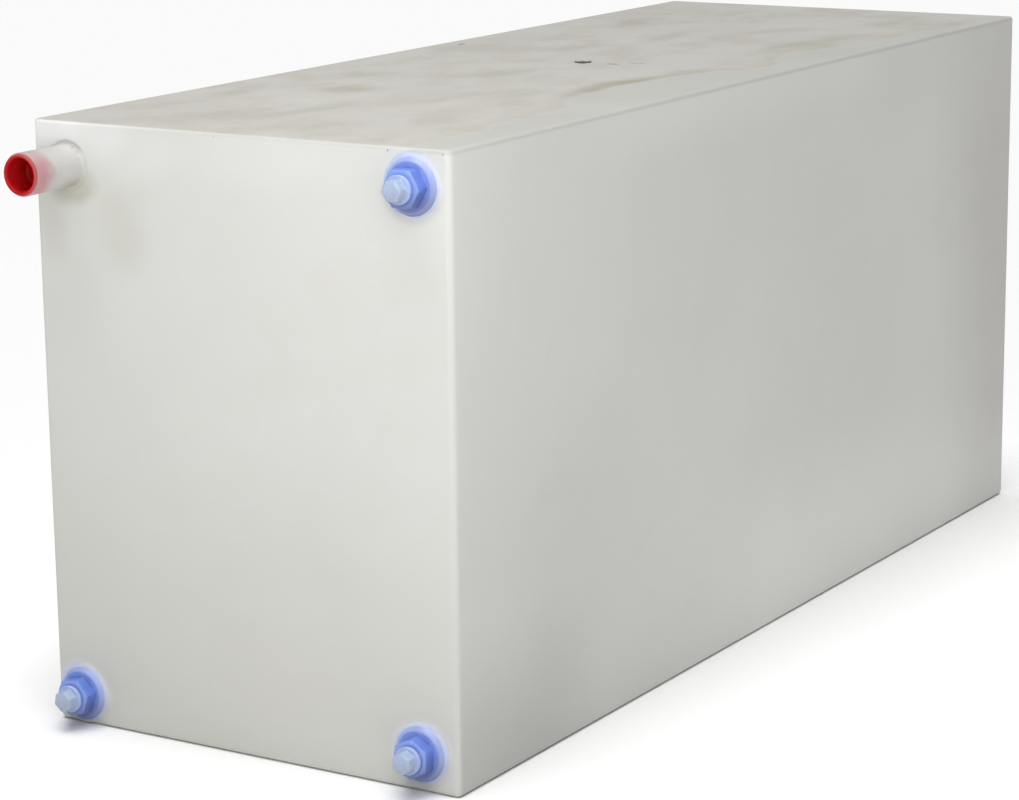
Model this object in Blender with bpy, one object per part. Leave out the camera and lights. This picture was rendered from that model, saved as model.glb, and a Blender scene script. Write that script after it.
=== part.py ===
"""Fresh water tank: a hollow moulded polyethylene box with four ports in its front end wall.

Row frame: the origin is the centre of the tank's underside, +Z is up, the length runs along Y
and the wall that carries the ports faces -Y. All values are in metres.
"""

from math import cos, pi, radians, sin, sqrt, tan

import bmesh
import bpy

# Tank shell
LENGTH = 0.970
WIDTH = 0.360
HEIGHT = 0.457
WALL = 0.006
EDGE_RADIUS = 0.005
INNER_RADIUS = 0.009
EDGE_SEGMENTS = 3
VENT_STUB_RADIUS = 0.0050

# Clearance between pieces that touch
GAP = 0.0003

# Threaded ports, 3/8-18 NPT. Heights are measured outwards from the wall's outer face.
PITCH = 0.0254 / 18
TAPER = 1 / 32
PITCH_RADIUS = 0.00815
TURNS_TO_CLEAR = 8
ENGAGEMENT = TURNS_TO_CLEAR * PITCH - 0.0001
THREAD_CLEARANCE = 0.00015
FLANGE_RADIUS = 0.0215
FLANGE_RIM = 0.0014
FLANGE_SHOULDER = 0.0176
FLANGE_TOP = 0.0050
BODY_FLATS = 0.0262
BODY_TOP = 0.0155
BODY_FACE_RADIUS = 0.0127
PILOT_RADIUS = 0.0136
PILOT_DEPTH = 0.0080
TAPPED_DEPTH = 0.0130
WATERWAY_RADIUS = 0.00635
COUNTERSINK = 0.0008

# Port plugs and their sealing washers
WASHER_RADIUS = 0.0100
WASHER_BORE = 0.0089
WASHER_THICKNESS = 0.0010
PLUG_FLANGE_RADIUS = 0.0102
PLUG_FLANGE_THICKNESS = 0.0021
PLUG_FLATS = 0.0143
PLUG_HEAD_HEIGHT = 0.0080
PLUG_FACE_RADIUS = 0.0063
PLUG_CORE_RADIUS = 0.0050
PLUG_CORE_LEFT = 0.0016

# Fill spout, 1 1/4 in outside diameter, and its push-in cap
SPOUT_RADIUS = 0.015875
SPOUT_BORE = 0.0133
SPOUT_LENGTH = 0.0500
SPOUT_FILLET = 0.0020
SPOUT_PILOT = 0.0070
CAP_RIM_RADIUS = 0.0149
CAP_RIM_THICKNESS = 0.0018
CAP_MOUTH_RADIUS = 0.0130
CAP_END_RADIUS = 0.0121
CAP_INSERT = 0.0200
CAP_WALL = 0.0010
CAP_MOUTH_ROUND = 0.0017

# Mould vent plug in the middle of the top
VENT_STUB_HEAD_RADIUS = 0.0075
VENT_STUB_HEAD_HEIGHT = 0.0010
VENT_STUB_DEPTH = 0.0075

# Port centres on the front wall, as (x, z), and the turn of each hexagon in degrees
PORTS = {
    "vent": {"centre": (0.150, 0.431), "body_turn": 0, "plug_turn": 5},
    "outlet": {"centre": (-0.1545, 0.0242), "body_turn": 12, "plug_turn": 20},
    "drain": {"centre": (0.1485, 0.0287), "body_turn": 28, "plug_turn": 32},
}
SPOUT_CENTRE = (-0.1495, 0.4246)

ROUND_STEPS = 32
WIDE_STEPS = 40

COLOURS = {
    "natural_polyethylene": ((0.68, 0.68, 0.65, 1), 0.55),
    "blue_polyethylene": ((0.13, 0.21, 0.72, 1), 0.35),
    "clear_polyethylene": ((0.50, 0.58, 0.80, 1), 0.30),
    "clear_silicone": ((0.44, 0.52, 0.78, 1), 0.55),
    "red_polyethylene": ((0.48, 0.01, 0.01, 1), 0.30),
}


def clear_scene():
    for obj in list(bpy.data.objects):
        bpy.data.objects.remove(obj, do_unlink=True)


def make_materials():
    made = {}
    for name, (colour, roughness) in COLOURS.items():
        material = bpy.data.materials.new(name)
        material.use_nodes = True
        shader = material.node_tree.nodes["Principled BSDF"]
        shader.inputs["Base Color"].default_value = colour
        shader.inputs["Roughness"].default_value = roughness
        shader.inputs["Metallic"].default_value = 0.0
        material.diffuse_color = colour
        made[name] = material
    return made


def object_from(bm, name):
    """Turns a bmesh into an object, its faces pointing out."""
    bmesh.ops.recalc_face_normals(bm, faces=bm.faces)
    mesh = bpy.data.meshes.new(name)
    bm.to_mesh(mesh)
    bm.free()
    obj = bpy.data.objects.new(name, mesh)
    bpy.context.scene.collection.objects.link(obj)
    return obj


def arc(centre, radius, start, end, count):
    """Points (r, z) along an arc, with its angles in degrees from the +r direction."""
    steps = [start + (end - start) * i / count for i in range(count + 1)]
    return [
        (centre[0] + radius * cos(radians(a)), centre[1] + radius * sin(radians(a)))
        for a in steps
    ]


def turned(name, profile, steps=ROUND_STEPS):
    """A solid of revolution about Z from a closed outline of (radius, height) points."""
    bm = bmesh.new()
    points = [bm.verts.new((r, 0, z)) for r, z in profile]
    pairs = zip(points, points[1:] + points[:1])
    edges = [bm.edges.new(pair) for pair in pairs if pair[0].co.x > 0 or pair[1].co.x > 0]
    bmesh.ops.spin(
        bm,
        geom=points + edges,
        cent=(0, 0, 0),
        axis=(0, 0, 1),
        angle=2 * pi,
        steps=steps,
        use_merge=True,
    )
    bmesh.ops.remove_doubles(bm, verts=bm.verts, dist=1e-7)
    return object_from(bm, name)


def rounded_box(name, size, centre_height, radius, segments):
    """A box about the Z axis, with every edge rounded."""
    bm = bmesh.new()
    bmesh.ops.create_cube(bm, size=1)
    bmesh.ops.scale(bm, vec=size, verts=bm.verts)
    bmesh.ops.translate(bm, vec=(0, 0, centre_height), verts=bm.verts)
    bmesh.ops.bevel(
        bm,
        geom=bm.edges,
        offset=radius,
        offset_type="OFFSET",
        segments=segments,
        profile=0.5,
        affect="EDGES",
    )
    return object_from(bm, name)


def hexagon(name, flats, low, high, turn):
    """A six-sided prism about Z, with a corner at the angle turn, in degrees."""
    corner = flats / sqrt(3)
    bm = bmesh.new()
    angles = [radians(turn + 60 * i) for i in range(6)]
    base = [bm.verts.new((corner * cos(a), corner * sin(a), low)) for a in angles]
    face = bm.faces.new(base)
    grown = bmesh.ops.extrude_face_region(bm, geom=[face])["geom"]
    top = [item for item in grown if isinstance(item, bmesh.types.BMVert)]
    bmesh.ops.translate(bm, verts=top, vec=(0, 0, high - low))
    return object_from(bm, name)


def combine(obj, tool, operation):
    """Applies an exact Boolean with tool to obj, and removes the tool."""
    modifier = obj.modifiers.new(operation.lower(), "BOOLEAN")
    modifier.operation = operation
    modifier.solver = "EXACT"
    modifier.object = tool
    graph = bpy.context.evaluated_depsgraph_get()
    mesh = bpy.data.meshes.new_from_object(obj.evaluated_get(graph))
    obj.modifiers.remove(modifier)
    obj.data = mesh
    bpy.data.objects.remove(tool, do_unlink=True)
    return obj


def chamfered_hexagon(name, flats, low, high, face_radius, turn):
    """A hexagon whose front corners are turned down at 30 degrees to a round face."""
    obj = hexagon(name, flats, low, high, turn)
    outer = flats
    shoulder = high - (outer - face_radius) * tan(radians(30))
    profile = [(0, high), (face_radius, high), (outer, shoulder), (outer, low), (0, low)]
    return combine(obj, turned("chamfer", profile), "INTERSECT")


def place_on_front(obj, centre):
    """Points the piece's own +Z out of the front wall, from the wall's outer face."""
    obj.location = (centre[0], -LENGTH / 2, centre[1])
    obj.rotation_euler = (pi / 2, 0, 0)
    return obj


def finish(obj, material, sharp_above=35):
    obj.data.materials.clear()
    obj.data.materials.append(material)
    obj.data.shade_smooth()
    obj.data.set_sharp_from_angle(angle=radians(sharp_above))
    return obj


def wall_hole(centre, radius):
    """A cutter through the front wall."""
    depth = 2 * WALL
    profile = [(0, depth), (radius, depth), (radius, -depth), (0, -depth)]
    return place_on_front(turned("hole", profile), centre)


def make_tank_shell(material):
    outside = (WIDTH, LENGTH, HEIGHT)
    inside = [side - 2 * WALL for side in outside]
    shell = rounded_box("tank_shell", outside, HEIGHT / 2, EDGE_RADIUS, EDGE_SEGMENTS)
    cavity = rounded_box("cavity", inside, HEIGHT / 2, INNER_RADIUS, EDGE_SEGMENTS)
    combine(shell, cavity, "DIFFERENCE")
    for port in PORTS.values():
        combine(shell, wall_hole(port["centre"], PILOT_RADIUS + GAP), "DIFFERENCE")
    combine(shell, wall_hole(SPOUT_CENTRE, SPOUT_RADIUS + GAP), "DIFFERENCE")
    stub = [(0, WALL), (VENT_STUB_RADIUS, WALL), (VENT_STUB_RADIUS, -2 * WALL), (0, -2 * WALL)]
    stub_hole = turned("stub_hole", stub)
    stub_hole.location.z = HEIGHT
    combine(shell, stub_hole, "DIFFERENCE")
    return finish(shell, material)


def bore_radius(depth):
    """Mean radius of the tapered internal thread at a depth below the fitting's face."""
    return PITCH_RADIUS + THREAD_CLEARANCE - TAPER * depth


def shank_radius(depth):
    """Mean radius of the plug's tapered thread at a depth below the fitting's face."""
    return PITCH_RADIUS - THREAD_CLEARANCE - TAPER * depth


def make_fitting(name, port, material):
    """A welded port: sloping flange and pilot, hexagonal body, tapered hole and waterway."""
    rim_edge = 0.0004
    profile = [(0, -PILOT_DEPTH), (PILOT_RADIUS, -PILOT_DEPTH), (PILOT_RADIUS, GAP)]
    profile += [(FLANGE_RADIUS, GAP), (FLANGE_RADIUS, FLANGE_RIM - rim_edge)]
    profile += [(FLANGE_RADIUS - rim_edge, FLANGE_RIM), (FLANGE_SHOULDER, FLANGE_TOP)]
    profile += [(0, FLANGE_TOP)]
    fitting = turned(name, profile, WIDE_STEPS)
    body = chamfered_hexagon(
        "body", BODY_FLATS, FLANGE_TOP - 0.001, BODY_TOP, BODY_FACE_RADIUS, port["body_turn"]
    )
    combine(fitting, body, "UNION")
    above = 0.001
    bottom = BODY_TOP - TAPPED_DEPTH
    mouth = bore_radius(0) + COUNTERSINK
    bore = [(0, BODY_TOP + above), (mouth + above, BODY_TOP + above), (mouth, BODY_TOP)]
    bore += [(bore_radius(COUNTERSINK), BODY_TOP - COUNTERSINK)]
    bore += [(bore_radius(TAPPED_DEPTH), bottom), (WATERWAY_RADIUS, bottom)]
    bore += [(WATERWAY_RADIUS, -PILOT_DEPTH - above), (0, -PILOT_DEPTH - above)]
    combine(fitting, turned("bore", bore), "DIFFERENCE")
    return finish(place_on_front(fitting, port["centre"]), material)


def make_washer(name, port, material):
    low = BODY_TOP + GAP
    high = low + WASHER_THICKNESS
    profile = [(WASHER_BORE, low), (WASHER_RADIUS, low), (WASHER_RADIUS, high), (WASHER_BORE, high)]
    return finish(place_on_front(turned(name, profile), port["centre"]), material)


def make_plug(name, port, material):
    """A hexagon-headed plug with a flange and a cored, tapered shank."""
    under = BODY_TOP + WASHER_THICKNESS + 2 * GAP
    top = under + PLUG_FLANGE_THICKNESS
    tip = BODY_TOP - ENGAGEMENT
    lead = 0.0008
    edge = 0.0005
    profile = [(0, under + PLUG_CORE_LEFT), (PLUG_CORE_RADIUS, under + PLUG_CORE_LEFT)]
    profile += [(PLUG_CORE_RADIUS, tip), (shank_radius(ENGAGEMENT) - lead, tip)]
    profile += [(shank_radius(ENGAGEMENT - lead), tip + lead)]
    profile += [(shank_radius(BODY_TOP - under), under)]
    profile += [(PLUG_FLANGE_RADIUS - edge, under), (PLUG_FLANGE_RADIUS, under + edge)]
    profile += [(PLUG_FLANGE_RADIUS, top - edge), (PLUG_FLANGE_RADIUS - edge, top), (0, top)]
    plug = turned(name, profile)
    overlap = 0.0002
    head = chamfered_hexagon(
        "head",
        PLUG_FLATS,
        top - overlap,
        top + PLUG_HEAD_HEIGHT,
        PLUG_FACE_RADIUS,
        port["plug_turn"],
    )
    combine(plug, head, "UNION")
    return finish(place_on_front(plug, port["centre"]), material)


def make_fill_spout(material):
    """A tube that runs through the wall, with a small fillet round its root."""
    end_round = 0.0004
    toe = 0.0004
    fillet_centre = (SPOUT_RADIUS + SPOUT_FILLET, GAP + toe + SPOUT_FILLET)
    profile = [(SPOUT_BORE, -SPOUT_PILOT), (SPOUT_RADIUS, -SPOUT_PILOT), (SPOUT_RADIUS, GAP)]
    profile += [(SPOUT_RADIUS + SPOUT_FILLET, GAP)]
    profile += arc(fillet_centre, SPOUT_FILLET, 270, 180, 5)
    profile += [(SPOUT_RADIUS, SPOUT_LENGTH - end_round), (SPOUT_RADIUS - end_round, SPOUT_LENGTH)]
    profile += [(SPOUT_BORE + end_round, SPOUT_LENGTH), (SPOUT_BORE, SPOUT_LENGTH - end_round)]
    spout = turned("fill_spout", profile, WIDE_STEPS)
    return finish(place_on_front(spout, SPOUT_CENTRE), material)


def make_fill_cap(material):
    """A tapered cup that pushes into the spout, with a rim that covers the spout's end."""
    low = SPOUT_LENGTH + GAP
    high = low + CAP_RIM_THICKNESS
    end = SPOUT_LENGTH - CAP_INSERT
    edge = 0.0005
    inner_mouth = CAP_MOUTH_RADIUS - CAP_WALL
    inner_end = CAP_END_RADIUS - CAP_WALL
    round_centre = (inner_mouth + CAP_MOUTH_ROUND, high - CAP_MOUTH_ROUND)
    floor_round = (inner_end - 0.0010, end + CAP_WALL + 0.0010)
    profile = [(0, end), (CAP_END_RADIUS - edge, end), (CAP_END_RADIUS, end + edge)]
    profile += [(CAP_MOUTH_RADIUS, low), (CAP_RIM_RADIUS - edge, low)]
    profile += [(CAP_RIM_RADIUS, low + edge), (CAP_RIM_RADIUS, high - edge)]
    profile += [(CAP_RIM_RADIUS - edge, high)]
    profile += arc(round_centre, CAP_MOUTH_ROUND, 90, 180, 4)
    profile += arc(floor_round, 0.0010, 0, -90, 3)
    profile += [(0, end + CAP_WALL)]
    cap = turned("fill_cap", profile, WIDE_STEPS)
    return finish(place_on_front(cap, SPOUT_CENTRE), material)


def make_mould_vent_plug(material):
    shank = VENT_STUB_RADIUS - GAP
    top = GAP + VENT_STUB_HEAD_HEIGHT
    edge = 0.0005
    profile = [(0, -VENT_STUB_DEPTH), (shank - edge, -VENT_STUB_DEPTH)]
    profile += [(shank, edge - VENT_STUB_DEPTH), (shank, GAP)]
    profile += [(VENT_STUB_HEAD_RADIUS, GAP), (VENT_STUB_HEAD_RADIUS, top - edge)]
    profile += [(VENT_STUB_HEAD_RADIUS - edge, top), (0, top)]
    plug = turned("mould_vent_plug", profile)
    plug.location.z = HEIGHT
    return finish(plug, material)


def main():
    clear_scene()
    materials = make_materials()
    make_tank_shell(materials["natural_polyethylene"])
    make_fill_spout(materials["natural_polyethylene"])
    make_fill_cap(materials["red_polyethylene"])
    make_mould_vent_plug(materials["natural_polyethylene"])
    for name, port in PORTS.items():
        make_fitting(f"{name}_fitting", port, materials["blue_polyethylene"])
        make_washer(f"{name}_washer", port, materials["clear_silicone"])
        make_plug(f"{name}_plug", port, materials["clear_polyethylene"])


main()
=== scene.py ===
"""Fresh water tank: the finished look of the moulded box, its spout, its ports and their plugs.

All values are in metres, in the row frame: +Z up, the wall with the ports faces -Y.
A turned or lofted piece is made about its own Z axis, and +Z then points out of that wall.
"""

from math import cos, pi, radians, sin, sqrt, tan

import bmesh
import bpy
from mathutils import Matrix, Vector, noise


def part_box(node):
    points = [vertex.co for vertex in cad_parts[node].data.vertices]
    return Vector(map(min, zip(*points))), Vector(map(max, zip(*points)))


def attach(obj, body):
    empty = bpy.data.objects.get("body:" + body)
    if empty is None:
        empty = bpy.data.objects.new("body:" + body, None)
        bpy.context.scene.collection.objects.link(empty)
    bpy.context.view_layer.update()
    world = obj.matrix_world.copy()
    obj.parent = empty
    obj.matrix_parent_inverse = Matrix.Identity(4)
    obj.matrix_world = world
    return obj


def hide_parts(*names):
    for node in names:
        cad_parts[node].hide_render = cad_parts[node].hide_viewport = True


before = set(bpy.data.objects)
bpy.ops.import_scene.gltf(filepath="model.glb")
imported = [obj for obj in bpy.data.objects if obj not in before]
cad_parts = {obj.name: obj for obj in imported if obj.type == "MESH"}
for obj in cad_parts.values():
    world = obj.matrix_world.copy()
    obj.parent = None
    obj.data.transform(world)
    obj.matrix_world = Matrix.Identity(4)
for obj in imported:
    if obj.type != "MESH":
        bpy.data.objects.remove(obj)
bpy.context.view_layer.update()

# The tank's box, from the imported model
TANK_LOW, TANK_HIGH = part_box("tank_shell")
FRONT = TANK_LOW.y
TOP = TANK_HIGH.z
HALF_WIDTH = TANK_HIGH.x
WALL = 0.006
EDGE_RADIUS = 0.005
TOP_EDGE_RADIUS = 0.0026
CAVITY_EDGE_RADIUS = 0.009
CAVITY_GRID = 0.3
STUB_HOLE_RADIUS = 0.0050

# Threaded ports. Heights are outwards from the wall's outer face. Turns and the place of the
# weld flash's longest lobe are in degrees, and the seed varies the flash.
PORTS = {
    "vent": {"body_turn": 0, "plug_turn": 5, "seed": 0, "lobe": -12, "lobe_size": 0.0022},
    "outlet": {"body_turn": 12, "plug_turn": 20, "seed": 1, "lobe": 75, "lobe_size": 0.0012},
    "drain": {"body_turn": 28, "plug_turn": 32, "seed": 2, "lobe": 60, "lobe_size": 0.0014},
}
PITCH = 0.0254 / 18
TAPER = 1 / 32
THREAD_DEPTH = 0.00095
THREAD_FLATTENING = 1.25
SHANK_RADIUS = 0.00800
BORE_RADIUS = 0.00830
BODY_FLATS = 0.0262
BODY_FACE_RADIUS = 0.0128
BODY_TOP = 0.0155
FLANGE_TOP = 0.0050
FLANGE_RADIUS = 0.0214
FLASH_REACH = 0.0019
TAPPED_DEPTH = 0.0130
WATERWAY_RADIUS = 0.00635
PILOT_RADIUS = 0.0135
PILOT_DEPTH = 0.0079
ENGAGEMENT = 0.0111
WASHER_THICKNESS = 0.0010
PLUG_FLATS = 0.0143
PLUG_FLANGE_RADIUS = 0.0102
PLUG_FLANGE_THICKNESS = 0.0021
PLUG_HEAD_HEIGHT = 0.0079
PLUG_FACE_RADIUS = 0.0066
GAP = 0.0003

# Spout and cap. The nicks in the spout's weld are in degrees round it.
SPOUT_RADIUS = 0.015875
SPOUT_BORE = 0.0133
SPOUT_LENGTH = 0.0500
SPOUT_PILOT = 0.0069
SPOUT_WELD_REACH = 0.0027
SPOUT_WELD_NICKS = (52, 78, 97, 131)
CAP_RIM_RADIUS = 0.0149
CAP_RIM_THICKNESS = 0.0018
CAP_INSERT = 0.0199
CAP_WALL = 0.0010

# The melted edge of a port's flange, from the wall up: inset, height and unevenness
FLANGE_EDGE = [
    (0.0003, 0.0002, 0.0006),
    (0, 0.0006, 0.0006),
    (0.0004, 0.0012, 0.0006),
    (0.0011, 0.0021, 0.0005),
    (0.0020, 0.0030, 0.0004),
    (0.0028, 0.0038, 0.0003),
    (0.0034, 0.0044, 0),
    (0.0039, 0.0048, 0),
    (0.0044, FLANGE_TOP, 0),
]
# Sections of the weld flash round a port and of the bead round the spout, from under the wall's
# skin out to the thin edge and back up: share of the reach, height and, for the flash, lumps
FLASH_SECTION = [
    (-0.3, -0.0004, 0),
    (1.08, -0.0004, 0),
    (1.0, -0.00005, 0),
    (0.9, 0.0001, 0),
    (0.75, 0.00025, 0.0001),
    (0.58, 0.0005, 0.0002),
    (0.42, 0.0008, 0.0003),
    (0.25, 0.0012, 0.0003),
    (0.0, 0.0017, 0.0003),
]
BEAD_SECTION = [
    (-0.2, -0.0004),
    (1.06, -0.0004),
    (1.0, -0.00005),
    (0.78, 0.0002),
    (0.56, 0.0005),
    (0.36, 0.0009),
    (0.20, 0.0015),
    (0.08, 0.0023),
    (0.0, 0.0034),
]


def smooth_step(low, high, value):
    """0 up to low, 1 from high on, and smooth between."""
    t = min(max((value - low) / (high - low), 0), 1)
    return t * t * (3 - 2 * t)


# ---------------------------------------------------------------- mesh making


def object_from(bm, name, sharp_above=40):
    """A smooth-shaded piece, sharp where faces meet at more than an angle in degrees."""
    bmesh.ops.recalc_face_normals(bm, faces=bm.faces)
    mesh = bpy.data.meshes.new(name)
    bm.to_mesh(mesh)
    bm.free()
    mesh.shade_smooth()
    mesh.set_sharp_from_angle(angle=radians(sharp_above))
    obj = bpy.data.objects.new(name, mesh)
    bpy.context.scene.collection.objects.link(obj)
    return obj


def loft(name, rows, steps, ring=True, sharp_above=40):
    """Joins rows, each a function of the angle that gives (radius, height), into one closed skin.

    A ring's last row joins its first. Otherwise the first and last rows close on the axis.
    """
    bm = bmesh.new()
    angles = [2 * pi * i / steps for i in range(steps)]
    loops = []
    for row in rows:
        points = [(row(a), a) for a in angles]
        loops.append([bm.verts.new((r * cos(a), r * sin(a), z)) for (r, z), a in points])
    pairs = list(zip(loops, loops[1:]))
    if ring:
        pairs.append((loops[-1], loops[0]))
    for low, high in pairs:
        for i in range(steps):
            j = (i + 1) % steps
            bm.faces.new((low[i], low[j], high[j], high[i]))
    if not ring:
        for loop in (loops[0], loops[-1]):
            height = sum(v.co.z for v in loop) / steps
            middle = bm.verts.new((0, 0, height))
            for i in range(steps):
                bm.faces.new((loop[i], loop[(i + 1) % steps], middle))
    return object_from(bm, name, sharp_above)


def circle(radius, height):
    return lambda angle: (radius, height)


def circles(points):
    return [circle(r, z) for r, z in points]


def arc(centre, radius, start, end, count):
    """Rows round an arc in the (radius, height) plane, angles in degrees."""
    steps = [radians(start + (end - start) * i / count) for i in range(count + 1)]
    return circles([(centre[0] + radius * cos(a), centre[1] + radius * sin(a)) for a in steps])


def hexagon_radius(angle, flats, turn, softness=14):
    """Radius of a hexagon with softened corners, at an angle in radians."""
    facing = [cos(angle - radians(turn + 30 + 60 * i)) for i in range(6)]
    sharp = flats / 2 / max(facing)
    soft = flats / 2 / sum(max(f, 0) ** softness for f in facing) ** (1 / softness)
    regrown = 1.03
    return min(sharp, soft * regrown)


def hexagon_row(flats, turn, height, limit=1):
    """A row of a hexagonal side, limit capping its radius where a chamfer turns it down."""

    def row(angle):
        return min(hexagon_radius(angle, flats, turn), limit), height

    return row


def thread_row(mean, height, depth):
    """A row of a right-hand thread's surface about Z."""

    def row(angle):
        phase = (height / PITCH - angle / (2 * pi)) % 1
        ridge = 1 - 4 * abs(phase - 0.5)
        flattened = max(min(ridge * THREAD_FLATTENING, 1), -1)
        return mean + depth / 2 * flattened, height

    return row


def thread_rows(mean_at, low, high, fade_low, fade_high, per_pitch=10):
    """Rows from low to high, the ridges fading out over a distance at each end."""
    count = round((high - low) / PITCH * per_pitch)
    rows = []
    for i in range(count + 1):
        z = low + (high - low) * i / count
        depth = THREAD_DEPTH * smooth_step(0, fade_low, z - low) * smooth_step(0, fade_high, high - z)
        rows.append(thread_row(mean_at(z), z, depth))
    return rows


def place_on_front(obj, centre):
    """Points the piece's +Z out of the front wall, from the wall's outer face."""
    obj.location = (centre[0], FRONT, centre[1])
    obj.rotation_euler = (pi / 2, 0, 0)
    return obj


def settle(obj):
    """Puts the piece's place into its mesh, so that its patterns run in the row frame."""
    bpy.context.view_layer.update()
    obj.data.transform(obj.matrix_world)
    obj.matrix_world = Matrix.Identity(4)
    return obj


def keep(obj, body, slot, material, *nodes):
    """Gives a finished piece its material, its body and the CAD nodes it stands for."""
    obj.data.materials.clear()
    obj.data.materials.append(material)
    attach(obj, body)
    if nodes:
        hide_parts(*nodes)
    return obj


# ---------------------------------------------------------------- tank shell


def edge_stations(half, radius, count, spacing):
    """Grid positions along one side: close together round the edges, then spaced out."""
    curve = [radius * tan(radians(45 * i / count)) for i in range(count + 1)]
    flat = 2 * (half - radius)
    inner = max(round(flat / spacing), 1)
    low = [-half + c for c in curve]
    middle = [-half + radius + flat * i / inner for i in range(1, inner)]
    high = [half - c for c in reversed(curve)]
    return low + middle + high


def rounded(place, half, radius):
    """Moves a point of a sharp-edged box to the same box with round edges."""
    core = Vector([min(max(p, radius - h), h - radius) for p, h in zip(place, half)])
    return core + (place - core).normalized() * radius


def rounded_skin(name, half, radius, count, spacing, shape=rounded):
    """A box about the origin made from six grids, whose points are put in place by shape."""
    stations = [edge_stations(h, radius, count, spacing) for h in half]
    bm = bmesh.new()
    found = {}

    def vertex(i, j, k):
        if (i, j, k) not in found:
            place = Vector((stations[0][i], stations[1][j], stations[2][k]))
            found[i, j, k] = bm.verts.new(shape(place, half, radius))
        return found[i, j, k]

    last = [len(s) - 1 for s in stations]
    for axis in range(3):
        a, b = [n for n in range(3) if n != axis]
        for end in (0, last[axis]):
            for i in range(last[a]):
                for j in range(last[b]):
                    corners = []
                    for di, dj in ((0, 0), (1, 0), (1, 1), (0, 1)):
                        index = [0, 0, 0]
                        index[axis], index[a], index[b] = end, i + di, j + dj
                        corners.append(vertex(*index))
                    bm.faces.new(corners)
    return object_from(bm, name, 60)


# Bubbles that broke the surface along the front wall's top edge: place across, and radius
PINHOLES = [(-0.0160, 0.0006), (0.1300, 0.0009), (0.1640, 0.0005), (0.1745, 0.0009)]
PIT_DEPTH = 0.0016
PIT_BELOW_TOP = 0.0030
# How far the walls' middles sink and ripple, and how far in from the edges that starts and is full
PANEL_BOW = 0.0007
PANEL_RIPPLE = 0.0005
RIPPLE_SCALE = 5.0
RIPPLE_PLACE = Vector((3.1, 7.7, 1.9))
BOW_STARTS, BOW_FULL = 0.055, 0.110
PANEL_GRID = 0.020
# Heights from the tank's middle between which its edges turn crisper
CRISP_FROM, CRISP_FULL = -0.06, 0.10


def crisper_at_top(place, half, radius):
    """Rounds the box, its top edges less than its upright and bottom ones."""
    crisp = rounded(place, half, TOP_EDGE_RADIUS)
    reach = radius - TOP_EDGE_RADIUS
    corner = Vector((max(abs(crisp.x) - half.x + radius, 0), max(abs(crisp.y) - half.y + radius, 0)))
    if corner.x > 0 and corner.y > 0:
        ray = corner.normalized()
        outline = radius / max(ray)
        if outline * min(ray) > reach:
            along = reach * (ray.x + ray.y)
            outline = along + sqrt(along**2 - 2 * reach**2 + TOP_EDGE_RADIUS**2)
        corner *= radius / outline
        crisp.x = (half.x - radius + corner.x) * (1 if crisp.x > 0 else -1)
        crisp.y = (half.y - radius + corner.y) * (1 if crisp.y > 0 else -1)
    return rounded(place, half, radius).lerp(crisp, smooth_step(CRISP_FROM, CRISP_FULL, place.z))


def moulded(place, half, radius):
    """Sinks the middle of each panel a little, as moulded walls cool, and ripples it."""
    place = crisper_at_top(place, half, radius)
    share = Vector([abs(p) / h for p, h in zip(place, half)])
    axis = max(range(3), key=lambda n: share[n])
    across = [n for n in range(3) if n != axis]
    inner = 1
    for n in across:
        inner *= 1 - smooth_step(half[n] - BOW_FULL, half[n] - BOW_STARTS, abs(place[n]))
    ripple = 0.5 + 0.5 * noise.noise(place * RIPPLE_SCALE + RIPPLE_PLACE)
    depth = inner * (PANEL_BOW + PANEL_RIPPLE * ripple)
    underside = axis == 2 and place.z < 0
    if abs(place[axis]) > half[axis] - EDGE_RADIUS and not underside:
        place[axis] -= depth if place[axis] > 0 else -depth
    return place


def cut_with(obj, tool):
    """Cuts the tool's shape out of the piece, and deletes the tool."""
    modifier = obj.modifiers.new("cut", "BOOLEAN")
    modifier.operation = "DIFFERENCE"
    modifier.solver = "EXACT"
    modifier.object = tool
    graph = bpy.context.evaluated_depsgraph_get()
    mesh = bpy.data.meshes.new_from_object(obj.evaluated_get(graph))
    obj.modifiers.remove(modifier)
    obj.data = mesh
    bpy.data.objects.remove(tool, do_unlink=True)


def make_tank_shell(material, centres):
    """The hollow box, with its holes for the ports, the spout and the mould vent, and its pits."""
    half = (TANK_HIGH - TANK_LOW) / 2
    middle = (TANK_HIGH + TANK_LOW) / 2
    shell = rounded_skin("tank_skin", half, EDGE_RADIUS, 8, PANEL_GRID, moulded)
    inner = Vector([h - WALL for h in half])
    cut_with(shell, rounded_skin("cavity", inner, CAVITY_EDGE_RADIUS, 2, CAVITY_GRID))
    shell.data.transform(Matrix.Translation(middle))
    past = 0.02
    for name, centre in centres.items():
        radius = (SPOUT_RADIUS if name == "spout" else PILOT_RADIUS) + GAP
        hole = circles([(radius, -past), (radius, past)])
        cut_with(shell, place_on_front(loft("hole", hole, 64, ring=False), centre))
    stub_hole = circles([(STUB_HOLE_RADIUS, TOP - past), (STUB_HOLE_RADIUS, TOP + past)])
    cut_with(shell, loft("stub_hole", stub_hole, 48, ring=False))
    for side, width in PINHOLES:
        pit = circles([(width * 0.5, -PIT_DEPTH), (width, 0.002)])
        cut_with(shell, place_on_front(loft("pit", pit, 12, ring=False), (side, TOP - PIT_BELOW_TOP)))
    shell.data.shade_smooth()
    shell.data.set_sharp_from_angle(angle=radians(50))
    return keep(shell, "tank", "tank_skin", material, "tank_shell")


# ---------------------------------------------------------------- ports


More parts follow.
